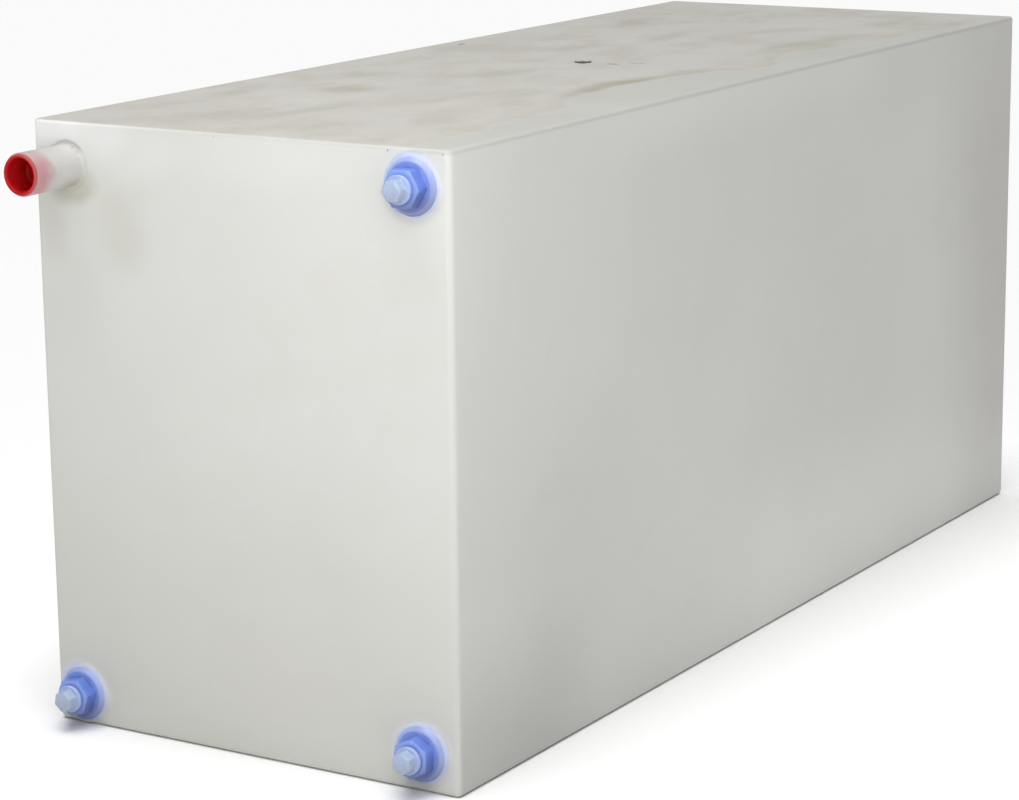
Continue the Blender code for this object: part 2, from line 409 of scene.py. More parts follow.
def make_fitting(port, facts, centre, material):
    """A welded port: lumpy flange edge, soft hexagonal body, tapered thread, waterway, pilot."""
    turn = facts["body_turn"]
    edge = 0.0004

    def melted(inset, height, uneven):
        def row(angle):
            around = Vector((cos(angle), sin(angle), height * 200 + turn))
            return FLANGE_RADIUS - inset + uneven * (noise.noise(around * 1.3) - 0.5), height

        return row

    def body(height, spread=0):
        chamfer = BODY_FACE_RADIUS + (BODY_TOP - height) / tan(radians(30))
        return hexagon_row(BODY_FLATS + 2 * spread, turn, height, chamfer)

    def bore(height):
        return BORE_RADIUS - TAPER * (BODY_TOP - height)

    rows = circles([(PILOT_RADIUS - edge, -PILOT_DEPTH), (PILOT_RADIUS, edge - PILOT_DEPTH)])
    rows += circles([(PILOT_RADIUS, 0.0002)])
    rows += [melted(*point) for point in FLANGE_EDGE]
    rows += [body(FLANGE_TOP + 0.0001, 0.0008), body(FLANGE_TOP + 0.0004, 0.0002)]
    rows += [body(FLANGE_TOP + 0.0010)]
    low, high = FLANGE_TOP + 0.0020, BODY_TOP - edge
    rows += [body(low + (high - low) * i / 9) for i in range(10)]
    rows += [hexagon_row(BODY_FLATS, turn, BODY_TOP - 0.0001, BODY_FACE_RADIUS - 0.0001)]
    rows += circles([(BODY_FACE_RADIUS - 0.0005, BODY_TOP), (BORE_RADIUS + 0.0011, BODY_TOP)])
    rows += circles([(BORE_RADIUS + 0.0009, BODY_TOP - 0.0001)])
    bottom = BODY_TOP - TAPPED_DEPTH
    rows += thread_rows(bore, bottom, BODY_TOP - 0.0006, 0.0012, 0.0010)[::-1]
    rows += circles([(WATERWAY_RADIUS + edge, bottom), (WATERWAY_RADIUS, bottom - edge)])
    rows += circles([(WATERWAY_RADIUS, edge - PILOT_DEPTH)])
    rows += circles([(WATERWAY_RADIUS + edge, -PILOT_DEPTH)])
    fitting = place_on_front(loft(f"{port}_port", rows, 120), centre)
    return keep(fitting, "tank", "fitting_plastic", material, f"{port}_fitting")


def make_washer(port, centre, material):
    """A flat sealing ring with round edges, between the port's face and the plug's flange."""
    inner, outer = 0.0090, 0.0100
    edge = 0.0003
    low = BODY_TOP + GAP + edge
    high = BODY_TOP + GAP + WASHER_THICKNESS - edge
    rows = arc((outer - edge, low), edge, -90, 0, 3)
    rows += arc((outer - edge, high), edge, 0, 90, 3)
    rows += arc((inner + edge, high), edge, 90, 180, 3)
    rows += arc((inner + edge, low), edge, 180, 270, 3)
    washer = place_on_front(loft(f"{port}_seal", rows, 72), centre)
    return keep(washer, f"{port}_washer", "washer_silicone", material, f"{port}_washer")


def make_plug(port, facts, centre, material):
    """A moulded plug: cored and threaded shank, flange, soft hexagonal head with a dished face."""
    turn = facts["plug_turn"]
    under = BODY_TOP + WASHER_THICKNESS + 2 * GAP
    flange_top = under + PLUG_FLANGE_THICKNESS
    tip = BODY_TOP - ENGAGEMENT
    top = flange_top + PLUG_HEAD_HEIGHT

    def head(height, draft=0.0, limit=1):
        return hexagon_row(PLUG_FLATS - 2 * draft, turn, height, limit)

    core, core_end = 0.0050, under + 0.0016
    rows = circles([(0.0010, core_end), (core - 0.0006, core_end), (core, core_end - 0.0006)])
    rows += circles([(core + 0.0003, tip + 0.0003)])
    rows += circles([(core + 0.0006, tip), (SHANK_RADIUS - 0.0018, tip)])
    start = tip + 0.0006

    def shank(height):
        lead_in = 0.0004 * (1 - smooth_step(0, 0.0014, height - start))
        return SHANK_RADIUS - TAPER * (BODY_TOP - height) - lead_in

    rows += thread_rows(shank, start, BODY_TOP - 0.0002, 0.0010, 0.0016)
    neck = 0.0078
    rows += circles([(neck, BODY_TOP + GAP), (neck, under - GAP), (neck + GAP, under)])
    edge = 0.0005
    rows += circles([(PLUG_FLANGE_RADIUS - edge, under)])
    rows += arc((PLUG_FLANGE_RADIUS - edge, under + edge), edge, -60, 0, 3)
    rows += arc((PLUG_FLANGE_RADIUS - edge, flange_top - edge), edge, 0, 90, 4)
    rows += circles([(0.0092, flange_top)])
    rows += [head(flange_top + 0.0001, -0.0004), head(flange_top + 0.0004, -0.0001)]
    chamfer, chamfer_reach = 0.0012, 0.0018
    low = flange_top + 0.0008
    for i in range(6):
        share = i / 5
        rows += [head(low + (top - chamfer - low) * share, 0.00005 + 0.00015 * share)]
    for share in (0.3, 0.6, 0.85):
        drop = chamfer_reach * (1 - sqrt(1 - share * share))
        rows += [head(top - chamfer * (1 - share), 0.0002 + drop)]
    rows += [head(top - 0.00003, chamfer_reach, PLUG_FACE_RADIUS - 0.0003)]
    rows += circles([(0.0053, top), (0.0044, top - 0.00015), (0.0020, top - 0.00035)])
    rows += circles([(0.0006, top - 0.00035)])
    plug = place_on_front(loft(f"{port}_stopper", rows, 120, ring=False), centre)
    return keep(plug, f"{port}_plug", "plug_plastic", material, f"{port}_plug")


def make_weld_flash(port, facts, centre, material):
    """The thin skirt of melted plastic that the weld leaves round a flange, on the wall."""
    overlap = 0.0010

    def skirt(share, height, lumpy):
        def row(angle):
            around = Vector((cos(angle), sin(angle), facts["seed"]))
            lobe = max(cos(angle - radians(facts["lobe"])), 0) ** 20
            spread = FLASH_REACH + 0.0008 * noise.noise(around * 2.5) + facts["lobe_size"] * lobe
            lump = lumpy * noise.noise(around * 6)
            return FLANGE_RADIUS - overlap + (spread + overlap) * share, height + lump

        return row

    rows = [skirt(*point) for point in FLASH_SECTION]
    flash = settle(place_on_front(loft(f"{port}_weld", rows, 144, sharp_above=80), centre))
    return keep(flash, "tank", "tank_skin", material)


# ---------------------------------------------------------------- spout and cap


def make_fill_spout(centre, material):
    """A straight tube, a little out of round, that widens into its root at the wall."""
    fillet = 0.0019

    def drawn(radius, height):
        def row(angle):
            around = Vector((cos(angle), sin(angle), height * 40))
            return radius - 0.00012 * (1 + noise.noise(around * 1.5)), height

        return row

    chamfer = 0.0004
    rows = circles([(SPOUT_BORE, -SPOUT_PILOT), (SPOUT_RADIUS - chamfer, -SPOUT_PILOT)])
    rows += circles([(SPOUT_RADIUS, chamfer - SPOUT_PILOT), (SPOUT_RADIUS, 0.0002)])
    rows += circles([(SPOUT_RADIUS + fillet, 0.0002)])
    rows += arc((SPOUT_RADIUS + fillet, 0.0005 + fillet), fillet, 265, 180, 6)
    start = 0.0006 + fillet
    stop = SPOUT_LENGTH - 0.0008
    rows += [drawn(SPOUT_RADIUS, start + (stop - start) * i / 20) for i in range(1, 20)]
    edge = 0.0005
    rows += arc((SPOUT_RADIUS - edge, SPOUT_LENGTH - edge), edge, 0, 90, 3)
    rows += arc((SPOUT_BORE + edge, SPOUT_LENGTH - edge), edge, 90, 180, 3)
    rows += [circle(SPOUT_BORE, SPOUT_LENGTH - edge - 0.0055 * i) for i in range(1, 10)]
    spout = place_on_front(loft("spout_tube", rows, 96), centre)
    return keep(spout, "tank", "spout_plastic", material, "fill_spout")


def make_spout_weld(centre, material):
    """A hand-laid bead round the spout's root, uneven and nicked along its upper side."""

    def bead(share, height):
        def row(angle):
            around = Vector((cos(angle), sin(angle), 4.2))
            lump = 1 + 0.30 * noise.noise(around * 4) + 0.12 * noise.noise(around * 11)
            nick = 1
            for at in SPOUT_WELD_NICKS:
                nick -= 0.45 * max(cos(angle - radians(at)), 0) ** 250
            reach = SPOUT_WELD_REACH + 0.0012 * noise.noise(around * 1.7)
            return SPOUT_RADIUS - 0.0001 + reach * share * nick, height * lump * nick

        return row

    rows = [bead(*point) for point in BEAD_SECTION]
    weld = settle(place_on_front(loft("spout_weld", rows, 240, sharp_above=80), centre))
    return keep(weld, "tank", "tank_skin", material)


def make_fill_cap(centre, material):
    """A tapered push-in cup: its rim rests on the spout and rolls over into its inside."""
    low = SPOUT_LENGTH + GAP
    high = low + CAP_RIM_THICKNESS
    end = SPOUT_LENGTH - CAP_INSERT
    floor = end + CAP_WALL
    mouth, tail = 0.0130, 0.0121
    inner_mouth, inner_tail = mouth - CAP_WALL, tail - CAP_WALL
    edge = 0.0009
    corner = 0.0014
    lip, lip_depth = 0.0016, 0.0034
    depth = high - lip_depth - floor - corner
    rows = circles([(0.0010, end), (tail - edge, end)])
    rows += arc((tail - edge, end + edge), edge, -60, 0, 3)
    rows += circles([(mouth - 0.0002, low - 0.0006), (mouth, low), (CAP_RIM_RADIUS - 0.0005, low)])
    rows += circles([(CAP_RIM_RADIUS - 0.0001, low + 0.0003)])
    rows += arc((CAP_RIM_RADIUS - edge, high - edge), edge, 0, 90, 5)
    for i in range(8):
        angle = radians(90 * i / 7)
        width, drop = lip * (1 - sin(angle)), lip_depth * (1 - cos(angle))
        rows += [circle(inner_mouth + width, high - drop)]
    for i in range(1, 8):
        shrink = (inner_mouth - inner_tail) * i / 8
        rows += [circle(inner_mouth - shrink, high - lip_depth - depth * i / 8)]
    rows += arc((inner_tail - corner, floor + corner), corner, 0, -90, 5)
    rows += circles([(0.0040, floor), (0.0034, floor + 0.0002), (0.0008, floor + 0.0002)])
    cap = place_on_front(loft("spout_cap", rows, 96, ring=False), centre)
    return keep(cap, "fill_cap", "cap_plastic", material, "fill_cap")


def make_mould_vent_plug(material):
    """The round plug with a dished head that closes the mould's vent hole in the top's middle."""
    shank, head = 0.0047, 0.0075
    rows = circles([(0.0010, -0.0075), (shank - 0.0005, -0.0075), (shank, -0.0070)])
    rows += circles([(shank, 0.0002), (head - 0.0003, 0.0002), (head, 0.0005)])
    rows += circles([(head - 0.0003, 0.0010), (head - 0.0012, 0.0012), (0.0045, 0.0012)])
    rows += circles([(0.0040, 0.0008), (0.0016, 0.0007), (0.0006, 0.0007)])
    plug = loft("vent_stub_plug", rows, 72, ring=False)
    middle = (TANK_LOW + TANK_HIGH) / 2
    plug.location = (middle.x, middle.y, TOP)
    return keep(settle(plug), "tank", "tank_skin", material, "mould_vent_plug")


# ---------------------------------------------------------------- materials


class Surface:
    """A material's nodes, with short names for what its patterns are built from."""

    def __init__(self, name):
        self.material = bpy.data.materials.new(name)
        self.material.use_nodes = True
        self.tree = self.material.node_tree
        self.shader = self.tree.nodes["Principled BSDF"]
        self.place = self.node("ShaderNodeTexCoord").outputs["Object"]

    def node(self, kind, inputs=(), **settings):
        made = self.tree.nodes.new(kind)
        for key, value in settings.items():
            setattr(made, key, value)
        for key, value in dict(inputs).items():
            self.feed(made.inputs[key], value)
        return made

    def feed(self, socket, value):
        if isinstance(value, bpy.types.NodeSocket):
            self.tree.links.new(value, socket)
        else:
            socket.default_value = value

    def set(self, **values):
        """Feeds the shader's sockets, each named in lower case with underscores."""
        sockets = {socket.name.lower().replace(" ", "_"): socket for socket in self.shader.inputs}
        for key, value in values.items():
            self.feed(sockets[key], value)

    def math(self, operation, *values):
        return self.node("ShaderNodeMath", enumerate(values), operation=operation).outputs[0]

    def vector(self, operation, *values):
        made = self.node("ShaderNodeVectorMath", enumerate(values), operation=operation)
        return made.outputs["Value" if operation == "LENGTH" else "Vector"]

    def axes(self, place=None):
        """The X, Y and Z of a place, by default of the point itself."""
        return self.node("ShaderNodeSeparateXYZ", {0: place or self.place}).outputs

    def fade(self, value, low, high):
        """0 at low, 1 at high and smooth between, low being either side of high."""
        made = self.node(
            "ShaderNodeMapRange",
            {"Value": value, "From Min": low, "From Max": high},
            interpolation_type="SMOOTHSTEP",
        )
        return made.outputs["Result"]

    def noise(self, scale, detail=3, stretch=(1, 1, 1), roughness=0.5):
        place = self.vector("MULTIPLY", self.place, stretch)
        inputs = {"Vector": place, "Scale": scale, "Detail": detail, "Roughness": roughness}
        return self.node("ShaderNodeTexNoise", inputs).outputs

    def mix(self, share, first, second):
        """The first colour at share 0, the second at share 1."""
        made = self.node("ShaderNodeMix", {0: share, 6: first, 7: second}, data_type="RGBA")
        return made.outputs[2]

    def tint(self, share, colour, towards):
        """The colour multiplied by another as far as share says."""
        made = self.node(
            "ShaderNodeMix",
            {0: share, 6: colour, 7: towards},
            data_type="RGBA",
            blend_type="MULTIPLY",
        )
        return made.outputs[2]

    def product(self, *values):
        total = values[0]
        for value in values[1:]:
            total = self.math("MULTIPLY", total, value)
        return total

    def curve(self, value, points):
        """A smooth curve through (value, result) points, all between 0 and 1."""
        made = self.node("ShaderNodeFloatCurve", {"Value": value})
        line = made.mapping.curves[0].points
        line[0].location, line[1].location = points[0], points[-1]
        for point in points[1:-1]:
            line.new(*point)
        made.mapping.update()
        return made.outputs[0]

    def spot(self, place, centre, size):
        """1 in the middle of an oval, falling smoothly to 0 at its edge; a size of 0 is endless."""
        scale = [1 / reach if reach else 0 for reach in size]
        shift = [-middle * k for middle, k in zip(centre, scale)]
        made = self.node("ShaderNodeVectorMath", {0: place, 1: scale, 2: shift}, operation="MULTIPLY_ADD")
        return self.fade(self.vector("LENGTH", made.outputs["Vector"]), 1.0, 0.15)

    def marks(self, place, spots):
        """The strength of many ovals at once, each (centre, size, strength)."""
        total = None
        for centre, size, strength in spots:
            found = self.product(self.spot(place, centre, size), strength)
            total = self.math("ADD", total, found) if total else found
        return self.math("MINIMUM", total, 1.0)

    def spot_ring(self, value, middle, width):
        """1 where a value is at middle, falling to 0 a width away on either side."""
        return self.fade(self.math("ABSOLUTE", self.math("SUBTRACT", value, middle)), width, 0.0)

    def glow(self, colour, share):
        """Lets a share of the light through, scattered, as milky plastic does."""
        through = self.node("ShaderNodeBsdfTranslucent", {"Color": colour})
        blend = self.node("ShaderNodeMixShader", {0: share, 1: self.shader.outputs[0]})
        self.feed(blend.inputs[2], through.outputs[0])
        output = self.tree.nodes["Material Output"]
        self.feed(output.inputs["Surface"], blend.outputs[0])

    def bump(self, *layers):
        """Adds (height, strength, distance) layers one over the other, and feeds the shader."""
        normal = None
        for height, strength, distance in layers:
            inputs = {"Height": height, "Strength": strength, "Distance": distance}
            if normal:
                inputs["Normal"] = normal
            normal = self.node("ShaderNodeBump", inputs).outputs["Normal"]
        self.feed(self.shader.inputs["Normal"], normal)


# Dust and dirt on the top, in the row frame: (centre, size, strength)
TOP_DIRT = [
    ((0.103, -0.130, 0), (0.026, 0.100, 0), 1.0),
    ((0.118, -0.040, 0), (0.024, 0.050, 0), 0.7),
    ((-0.072, -0.235, 0), (0.026, 0.042, 0), 0.9),
    ((-0.030, -0.330, 0), (0.018, 0.070, 0), 0.5),
    ((-0.120, -0.160, 0), (0.030, 0.050, 0), 0.45),
    ((-0.140, -0.300, 0), (0.025, 0.060, 0), 0.4),
    ((0.008, -0.250, 0), (0.060, 0.060, 0), 0.25),
    ((-0.020, -0.090, 0), (0.030, 0.060, 0), 0.4),
    ((-0.025, 0.205, 0), (0.022, 0.050, 0), 0.65),
    ((0.110, 0.190, 0), (0.045, 0.090, 0), 0.5),
    ((-0.065, 0.110, 0), (0.028, 0.080, 0), 0.4),
    ((-0.115, 0.290, 0), (0.022, 0.060, 0), 0.6),
    ((0.105, 0.400, 0), (0.035, 0.080, 0), 0.5),
    ((-0.020, 0.400, 0), (0.050, 0.050, 0), 0.3),
]
# Small dark scuff marks on the top; the fourth darkens the vent plug's dished head, partly dirt and
# partly painted shade
TOP_SCUFFS_AND_SHADE = [
    ((0.029, -0.001, 0), (0.009, 0.004, 0), 0.8),
    ((0.041, 0.012, 0), (0.006, 0.004, 0), 0.5),
    ((0.047, 0.015, 0), (0.005, 0.004, 0), 0.5),
    ((0.004, -0.008, 0), (0.005, 0.005, 0), 0.7),
    ((-0.160, 0.064, 0), (0.004, 0.008, 0), 0.8),
]
# Where the dust on the top gives way to a clean band along one long edge: (y + 0.5, x)
CLEAN_BAND = [
    (0.0, 0.150),
    (0.09, 0.145),
    (0.18, 0.137),
    (0.226, 0.141),
    (0.308, 0.112),
    (0.41, 0.113),
    (0.48, 0.130),
    (0.527, 0.153),
    (0.60, 0.136),
    (0.66, 0.138),
    (0.722, 0.154),
    (0.82, 0.156),
    (0.87, 0.165),
    (1.0, 0.182),
]
# Stains on the front wall and the spout's painted shadow under it, and where its plastic is paler
FRONT_GRIME_AND_SPOUT_SHADOW = [
    ((-0.149, 0, 0.4070), (0.025, 0, 0.0155), 1.0),
    ((-0.134, 0, 0.4130), (0.019, 0, 0.0170), 0.72),
    ((-0.125, 0, 0.4020), (0.040, 0, 0.0300), 0.14),
    ((-0.165, 0, 0.3780), (0.022, 0, 0.0380), 0.35),
    ((-0.100, 0, 0.3750), (0.032, 0, 0.0380), 0.35),
    ((-0.098, 0, 0.4050), (0.040, 0, 0.0200), 0.15),
    ((0.010, 0, 0.3700), (0.070, 0, 0.0700), 0.06),
    ((-0.030, 0, 0.2800), (0.120, 0, 0.0600), 0.05),
]
FRONT_PALE = [
    ((-0.185, 0, 0.4550), (0.070, 0, 0.0300), 1.0),
    ((-0.130, 0, 0.4500), (0.050, 0, 0.0280), 0.55),
    ((-0.090, 0, 0.4400), (0.055, 0, 0.0340), 0.22),
    ((0.010, 0, 0.4420), (0.130, 0, 0.0360), 0.16),
]


def milky(s):
    """Milky plastic with faint clouds, warm patches, mottling and grain."""
    clouds = s.noise(4.5, 4)["Fac"]
    mottle = s.noise(38, 4, roughness=0.65)["Fac"]
    grain = s.noise(900, 2)["Fac"]
    warm = s.noise(6.5, 4, (1, 1, 1.4), roughness=0.6)["Fac"]
    colour = s.mix(s.fade(clouds, 0.35, 0.68), (0.666, 0.672, 0.636, 1), (0.692, 0.698, 0.664, 1))
    colour = s.mix(s.product(s.fade(warm, 0.50, 0.72), 0.55), colour, (0.672, 0.655, 0.625, 1))
    colour = s.mix(s.product(s.fade(mottle, 0.52, 0.74), 0.20), colour, (0.722, 0.727, 0.703, 1))
    colour = s.mix(s.product(s.fade(grain, 0.55, 0.75), 0.10), colour, (0.66, 0.66, 0.62, 1))
    return colour, mottle, grain


def paint_wall_light_and_shade(s, colour, front, side, warped):
    """Painted shade on the front's foot and on the sides' near foot, near lower corner and far end.

    Painted light on the sides low down past their middle, and in a strip under the top edge.
    """
    z = s.axes()["Z"]
    wy, wz = s.axes(warped)[1:]
    # Painted shade: the front darkens towards its foot
    colour = s.tint(s.product(front, s.fade(z, 0.30, 0.05)), colour, (0.905, 0.900, 0.885, 1))
    # Painted shade on the sides' near foot
    near = s.product(side, s.fade(wy, FRONT + 0.370, FRONT + 0.150), s.fade(wz, 0.330, 0.150))
    colour = s.tint(near, colour, (0.905, 0.905, 0.905, 1))
    # Painted shade in the sides' near lower corner
    corner = s.product(side, s.fade(wy, FRONT + 0.225, FRONT + 0.090), s.fade(wz, 0.135, 0.020))
    colour = s.tint(corner, colour, (0.835, 0.835, 0.840, 1))
    # Painted light from the floor's bounce, paler low down past the sides' middle
    thin = s.product(side, s.fade(wy, -0.160, 0.020), s.fade(wy, 0.470, 0.330))
    thin = s.product(thin, s.fade(wz, 0.170, 0.030))
    colour = s.mix(s.product(thin, 0.80), colour, (0.800, 0.800, 0.765, 1))
    # Painted shade over the sides' far end, deeper low down
    far = s.product(side, s.fade(wy, 0.300, 0.460), s.fade(wz, 0.030, 0.120))
    colour = s.tint(far, colour, (0.920, 0.905, 0.895, 1))
    colour = s.tint(s.product(far, s.fade(wz, 0.430, 0.330)), colour, (0.955, 0.945, 0.950, 1))
    # Painted light in a strip under the sides' top edge
    crest_light = s.product(side, s.fade(z, TOP - 0.050, TOP - 0.010), s.fade(wy, -0.350, -0.150))
    crest_light = s.product(crest_light, s.fade(wy, 0.260, 0.120))
    return s.mix(crest_light, colour, (0.715, 0.720, 0.690, 1))


def distance_from(s, place, centre):
    """How far a point is from a port's or the spout's axis."""
    away = s.vector("SUBTRACT", place, (centre[0], 0, centre[1]))
    return s.vector("LENGTH", s.vector("MULTIPLY", away, (1, 0, 1)))


def bleed_blue_and_shade(s, colour, front, gently, warped, centre):
    """Blue that has bled into the wall where a port was welded to it, with painted shade and some dirt
    below the port.
    """
    ring = distance_from(s, gently, centre)
    halo = s.product(front, s.fade(ring, FLANGE_RADIUS + 0.0085, FLANGE_RADIUS + 0.0005))
    melt = s.product(front, s.fade(ring, FLANGE_RADIUS + 0.0028, FLANGE_RADIUS - 0.0006))
    # Painted shade with some dirt below the port
    under = s.fade(s.axes(warped)["Z"], centre[1] + 0.006, centre[1] - 0.018)
    colour = s.mix(s.product(halo, 0.40), colour, (0.74, 0.76, 0.80, 1))
    colour = s.mix(s.product(melt, 0.85), colour, (0.500, 0.575, 0.830, 1))
    return s.tint(s.product(halo, under), colour, (0.800, 0.790, 0.790, 1))


def stain_and_shade_front(s, colour, front, gently, warped, mottle, centres):
    """Marks of the front wall: grime and the spout's painted shadow, pale plastic, painted shade in the
    crease round the spout's root, deepest along its top, painted shade along the top edge, and blue round
    the ports.
    """
    x, y, z = s.axes()
    # Grime, and the painted shadow that the spout casts on the wall below it
    grime = s.product(front, s.marks(gently, FRONT_GRIME_AND_SPOUT_SHADOW))
    colour = s.tint(grime, colour, (0.77, 0.75, 0.68, 1))
    for port in PORTS:
        colour = bleed_blue_and_shade(s, colour, front, gently, warped, centres[port])
    pale = s.product(front, s.marks(gently, FRONT_PALE))
    colour = s.mix(pale, colour, (0.900, 0.900, 0.892, 1))
    # Painted shade along the front's top edge, damping its lit rounding
    rim = s.product(front, s.fade(z, TOP - 0.0032, TOP - 0.0012), s.fade(x, -0.110, 0.020))
    colour = s.tint(rim, colour, (0.880, 0.870, 0.885, 1))
    away = distance_from(s, s.place, centres["spout"])
    # Painted shade in the crease round the spout's root
    root = s.product(s.fade(away, 0.0205, 0.0170), s.fade(y, FRONT + 0.006, FRONT))
    colour = s.tint(root, colour, (0.860, 0.860, 0.850, 1))
    height = centres["spout"][1]
    # Painted shade, deepest along the top of the root's crease
    root_crease_shade = s.product(root, s.fade(z, height + 0.006, height + 0.016), s.fade(mottle, 0.36, 0.58))
    return s.tint(root_crease_shade, colour, (0.660, 0.660, 0.640, 1))


def dust_and_shade_top(s, colour, top, warped):
    """Painted shade over the top, deeper towards the far end and over the clean band, with dust, dirt and
    scuff marks beside the band. Also gives the dust and its film.
    """
    y, z = s.axes()[1:]
    film = s.noise(20, 5, (1, 0.6, 1), roughness=0.62)["Fac"]
    speck = s.noise(260, 3, roughness=0.6)["Fac"]
    border = s.curve(s.math("ADD", y, 0.5), CLEAN_BAND)
    inside = s.math("SUBTRACT", border, s.axes(warped)["X"])
    dusty = s.product(top, s.fade(inside, -0.006, 0.004))
    # Painted shade over the clean band and the rounding of its edge
    band = s.product(s.fade(z, TOP - 0.0045, TOP - 0.0020), s.fade(inside, 0.004, -0.006))
    colour = s.tint(band, colour, (0.912, 0.910, 0.912, 1))
    # Painted shade over the whole top, deeper towards the far end
    colour = s.tint(top, colour, (0.890, 0.880, 0.870, 1))
    colour = s.tint(s.product(top, s.fade(y, -0.35, 0.40)), colour, (0.940, 0.950, 0.955, 1))
    colour = s.tint(s.product(dusty, 0.75), colour, (0.900, 0.880, 0.865, 1))
    colour = s.tint(s.product(dusty, s.fade(film, 0.40, 0.68)), colour, (0.900, 0.880, 0.850, 1))
    streak = s.product(s.fade(inside, 0.0, 0.006), s.fade(inside, 0.026, 0.008))
    colour = s.tint(s.product(dusty, streak, 0.6), colour, (0.93, 0.915, 0.88, 1))
    dirt = s.product(dusty, s.marks(warped, TOP_DIRT))
    colour = s.tint(s.product(dirt, s.fade(film, 0.20, 0.55)), colour, (0.815, 0.795, 0.730, 1))
    specks = s.product(dusty, s.fade(speck, 0.60, 0.76), 0.30)
    colour = s.tint(specks, colour, (0.82, 0.79, 0.74, 1))
    # Scuff marks, and dirt and painted shade on the vent plug's head
    scuffs_and_shade = s.product(top, s.marks(s.place, TOP_SCUFFS_AND_SHADE))
    return s.mix(scuffs_and_shade, colour, (0.17, 0.165, 0.155, 1)), dusty, film


def tank_plastic(centres):
    """Natural polyethylene as it comes out of a mould: milky, faintly mottled, dusty on top, with painted
    light and shade on its walls and top.
    """
    s = Surface("natural polyethylene")
    wander = s.vector("SUBTRACT", s.noise(14, 4, roughness=0.6)["Color"], (0.5, 0.5, 0.5))
    warped = s.vector("ADD", s.place, s.vector("MULTIPLY", wander, (0.030, 0.030, 0.030)))
    gently = s.vector("ADD", s.place, s.vector("MULTIPLY", wander, (0.010, 0.010, 0.010)))
    y, z = s.axes()[1:]
    top = s.product(s.fade(z, TOP - 0.0045, TOP - 0.0004), s.fade(y, FRONT + 0.0002, FRONT + 0.0020))
    front = s.product(s.fade(y, FRONT + 0.0045, FRONT + 0.0010), s.math("SUBTRACT", 1.0, top))
    side = s.product(s.math("SUBTRACT", 1.0, front), s.math("SUBTRACT", 1.0, top))

    colour, mottle, grain = milky(s)
    colour = paint_wall_light_and_shade(s, colour, front, side, warped)
    colour = stain_and_shade_front(s, colour, front, gently, warped, mottle, centres)
    colour, dusty, film = dust_and_shade_top(s, colour, top, warped)
    s.set(base_color=colour, ior=1.50, subsurface_weight=0.10, subsurface_scale=0.004)
    s.set(subsurface_radius=(1.0, 0.9, 0.75))

    smudge = s.noise(11, 4, roughness=0.6)["Fac"]
    rough = s.math("MULTIPLY_ADD", s.fade(smudge, 0.35, 0.70), 0.10, 0.52)
    rough = s.math("MULTIPLY_ADD", s.product(dusty, film), 0.40, rough)
    s.set(roughness=rough, specular_ior_level=0.30)
    peel = s.noise(150, 3)["Fac"]
    waves = s.noise(14, 2)["Fac"]
    s.bump((waves, 0.25, 0.003), (peel, 0.22, 0.0006), (grain, 0.15, 0.0001))
    return s.material


def spout_plastic():
    """Extruded natural tube, with the red of its cap painted on at one end where it shows through, and
    darker under its root, partly grime and partly painted shade.
    """
    s = Surface("tube polyethylene")
    y, z = s.axes()[1:]
    clouds = s.noise(60, 4)["Fac"]
    colour = s.mix(s.fade(clouds, 0.3, 0.7), (0.650, 0.637, 0.615, 1), (0.700, 0.688, 0.665, 1))
    grain = s.noise(1100, 2)["Fac"]
    colour = s.mix(s.product(s.fade(grain, 0.55, 0.75), 0.12), colour, (0.56, 0.545, 0.52, 1))
    # Painted light: the red cap showing pink through the tube's end
    ragged = s.math("MULTIPLY_ADD", s.noise(80, 4)["Fac"], 0.014, z)
    cap_show_through = s.product(s.fade(ragged, 0.0335, 0.0515), s.fade(y, 0.0230, 0.0060))
    colour = s.mix(cap_show_through, colour, (0.610, 0.330, 0.360, 1))
    # Darker under the root, partly grime and partly painted shade
    under = s.product(s.fade(y, -0.0020, -0.0140), s.fade(z, 0.036, 0.008))
    colour = s.tint(s.product(under, s.fade(clouds, 0.2, 0.6)), colour, (0.70, 0.68, 0.60, 1))
    s.set(base_color=colour, ior=1.50, specular_ior_level=0.35)
    s.set(roughness=s.math("MULTIPLY_ADD", clouds, 0.2, 0.36))
    drawn = s.noise(700, 3, (1, 1, 0.03))["Fac"]
    s.bump((drawn, 0.2, 0.0002), (grain, 0.1, 0.0001))
    s.glow(colour, 0.18)
    return s.material


